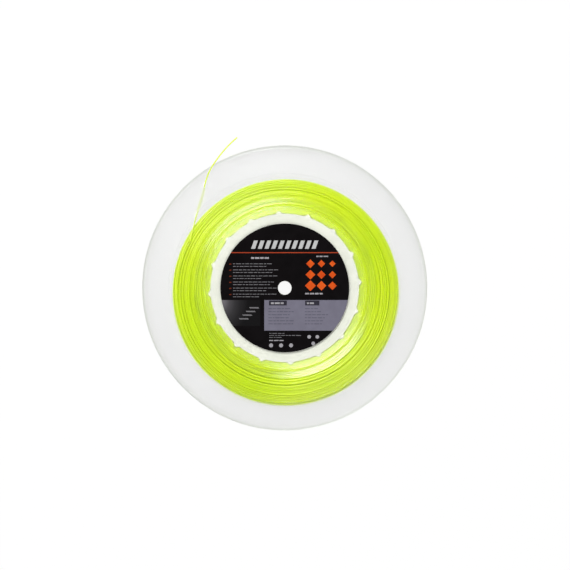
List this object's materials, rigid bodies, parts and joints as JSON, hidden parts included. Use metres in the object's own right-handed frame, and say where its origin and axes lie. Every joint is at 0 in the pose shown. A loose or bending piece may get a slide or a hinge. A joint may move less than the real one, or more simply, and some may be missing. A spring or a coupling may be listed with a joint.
{
  "type": "string reel",
  "caption": "Spool of racket string: two see-through snap-together flanges round a finned drum and a bored sleeve, wound with yellow-green monofilament",
  "frame": {"origin": "Centre of the reel's axis on the surface that the rear flange's rim rests on.", "axes": "+Z runs along the reel's axis from the rear flange to the labelled front flange. +Y points to the top of the label's print."},
  "size_m": [0.28, 0.2879, 0.0222],
  "materials": {
    "flange_plastic": "frosted, see-through",
    "drum_plastic": "satin",
    "string_winding": "glossy monofilament, wound",
    "string_single": "glossy monofilament",
    "label_print": "satin printed film"
  },
  "bodies": {
    "root": {"rear_flange": "flange_plastic", "front_flange": "flange_plastic", "hub_drum": "drum_plastic", "spindle_sleeve": "drum_plastic", "string_winding": "string_winding", "string_tail": "string_single", "string_start": "string_single", "front_label": "label_print"}
  },
  "joints": []
}
